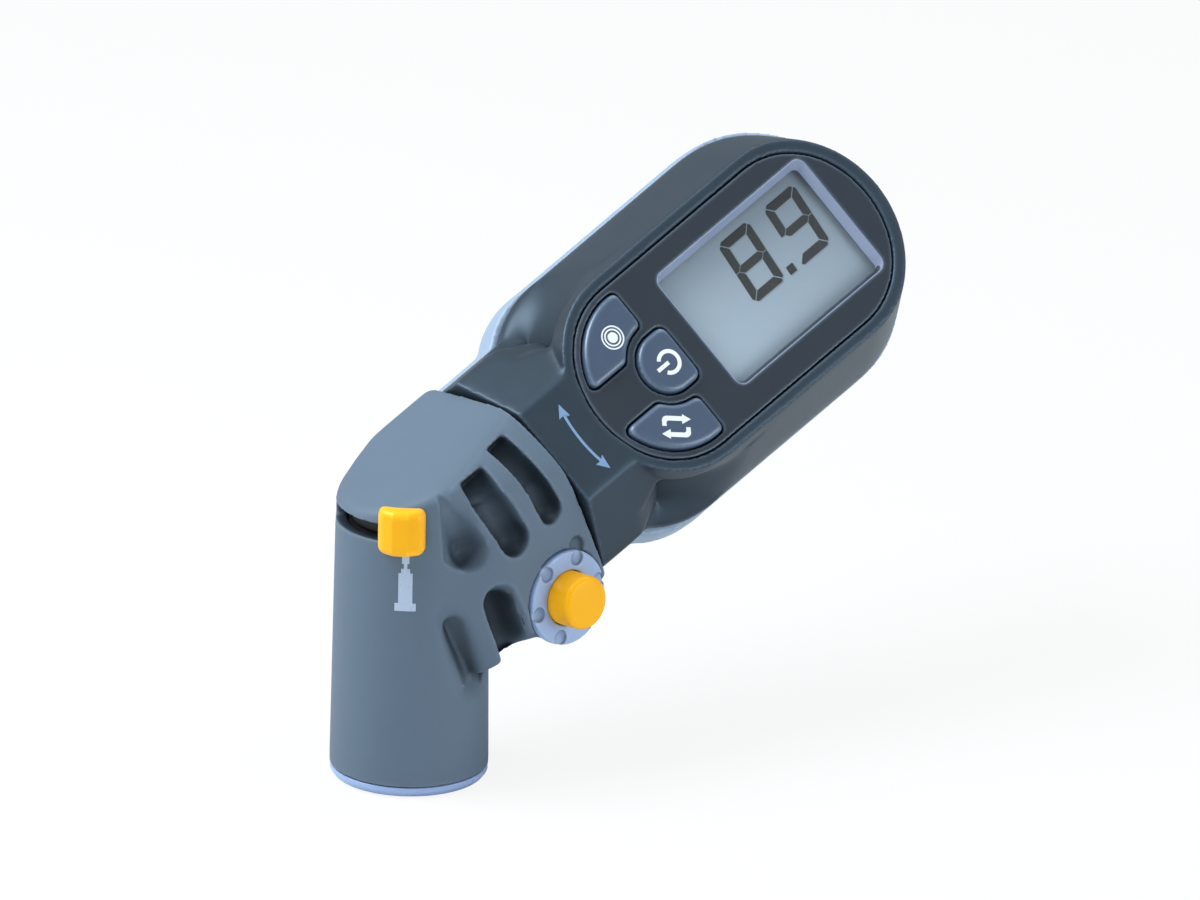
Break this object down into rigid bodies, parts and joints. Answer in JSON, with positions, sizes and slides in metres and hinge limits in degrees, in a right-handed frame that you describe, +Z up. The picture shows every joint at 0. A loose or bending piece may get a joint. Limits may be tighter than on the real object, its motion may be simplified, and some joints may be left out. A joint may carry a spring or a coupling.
{
  "type": "digital tire pressure gauge",
  "caption": "Handheld digital tire pressure gauge with an oval display body on a swivelling valve head, thumb lock lever, bleed button and push keys.",
  "frame": {"origin": "centre of the valve mouth, on the bottom face of the chuck ring", "axes": "+Z up along the chuck axis; the swivel axis climbs towards +X at 68 degrees from +Z in the XZ plane; the bleed button looks to -Y"},
  "size_m": [0.1087, 0.0415, 0.0815],
  "materials": {
    "head_plastic": "soft-touch slate blue-grey",
    "shell_plastic": "near-black, fine texture",
    "cover_plastic": "light blue-grey satin",
    "accent_plastic": "yellow-orange, soft sheen",
    "panel_plastic": "dark charcoal satin",
    "key_rubber": "slate blue keypad",
    "seal_rubber": "black nitrile",
    "inner_plastic": "black moulded plastic",
    "lens": "clear window",
    "display": "pale grey-blue liquid crystal cell",
    "board": "green laminate",
    "brass": "turned",
    "steel": "stainless",
    "spring_steel": "bright spring steel"
  },
  "bodies": {
    "valve_head": {"head_shell": "head_plastic", "chuck_ring": "cover_plastic", "chuck_seal": "seal_rubber", "head_manifold": "inner_plastic", "depressor_pin": "brass", "swivel_bush": "brass", "swivel_washer": "inner_plastic", "bleed_collar": "cover_plastic", "bleed_seat": "brass", "bleed_spring": "spring_steel"},
    "lever": {"lock_lever": "accent_plastic", "cam_ring": "inner_plastic"},
    "clamp": {"clamp_sleeve": "inner_plastic"},
    "bleed_valve": {"bleed_button": "accent_plastic", "bleed_stem": "brass", "bleed_seal": "seal_rubber"},
    "gauge_body": {"swivel_spindle": "brass", "spindle_o_rings": "seal_rubber", "spindle_clip": "spring_steel", "front_shell": "shell_plastic", "rear_cover": "cover_plastic", "case_screws": "steel", "fascia_panel": "panel_plastic", "display_lens": "lens", "display_glass": "display", "display_frame": "inner_plastic", "zebra_strips": "seal_rubber", "circuit_board": "board", "keypad_mat": "seal_rubber", "dome_switches": "spring_steel", "battery": "steel", "battery_contacts": "spring_steel", "sensor_tube": "brass", "pressure_sensor": "steel", "sensor_lead_set": "spring_steel"},
    "battery_lid": {"battery_cover": "cover_plastic", "battery_seal": "seal_rubber"},
    "power_button": {"power_key": "key_rubber"},
    "tune_button": {"tune_key": "key_rubber"},
    "unit_button": {"unit_key": "key_rubber"}
  },
  "joints": [
    {"name": "swivel", "type": "hinge", "parent": "valve_head", "child": "gauge_body", "pos_m": [0, 0, 0.031], "axis": [0.9272, 0, 0.3746], "range_deg": [-100, 80]},
    {"name": "lock_lever_turn", "type": "hinge", "parent": "valve_head", "child": "lever", "pos_m": [0, 0, 0], "axis": [0, 0, 1], "range_deg": [-75, 0]},
    {"name": "clamp_slide", "type": "slide", "parent": "valve_head", "child": "clamp", "axis": [0, 0, 1], "range_m": [-0.0012, 0]},
    {"name": "bleed_push", "type": "slide", "parent": "valve_head", "child": "bleed_valve", "axis": [0.0261, 0.9976, -0.0647], "range_m": [0, 0.0016], "stiffness_N_per_m": 1500, "springref_m": -0.001},
    {"name": "power_push", "type": "slide", "parent": "gauge_body", "child": "power_button", "axis": [0.2306, 0.788, -0.5708], "range_m": [0, 0.0008], "stiffness_N_per_m": 1800, "springref_m": -0.0002},
    {"name": "tune_push", "type": "slide", "parent": "gauge_body", "child": "tune_button", "axis": [0.2306, 0.788, -0.5708], "range_m": [0, 0.0008], "stiffness_N_per_m": 1800, "springref_m": -0.0002},
    {"name": "unit_push", "type": "slide", "parent": "gauge_body", "child": "unit_button", "axis": [0.2306, 0.788, -0.5708], "range_m": [0, 0.0008], "stiffness_N_per_m": 1800, "springref_m": -0.0002},
    {"name": "battery_lid_turn", "type": "hinge", "parent": "gauge_body", "child": "battery_lid", "pos_m": [0.06268, 0.01143, 0.0467], "axis": [0.2306, 0.788, -0.5708], "range_deg": [0, 45]}
  ],
  "couplings": [
    {"joint": "lock_lever_turn", "follows": "clamp_slide", "rad_per_m": 1090.8}
  ]
}
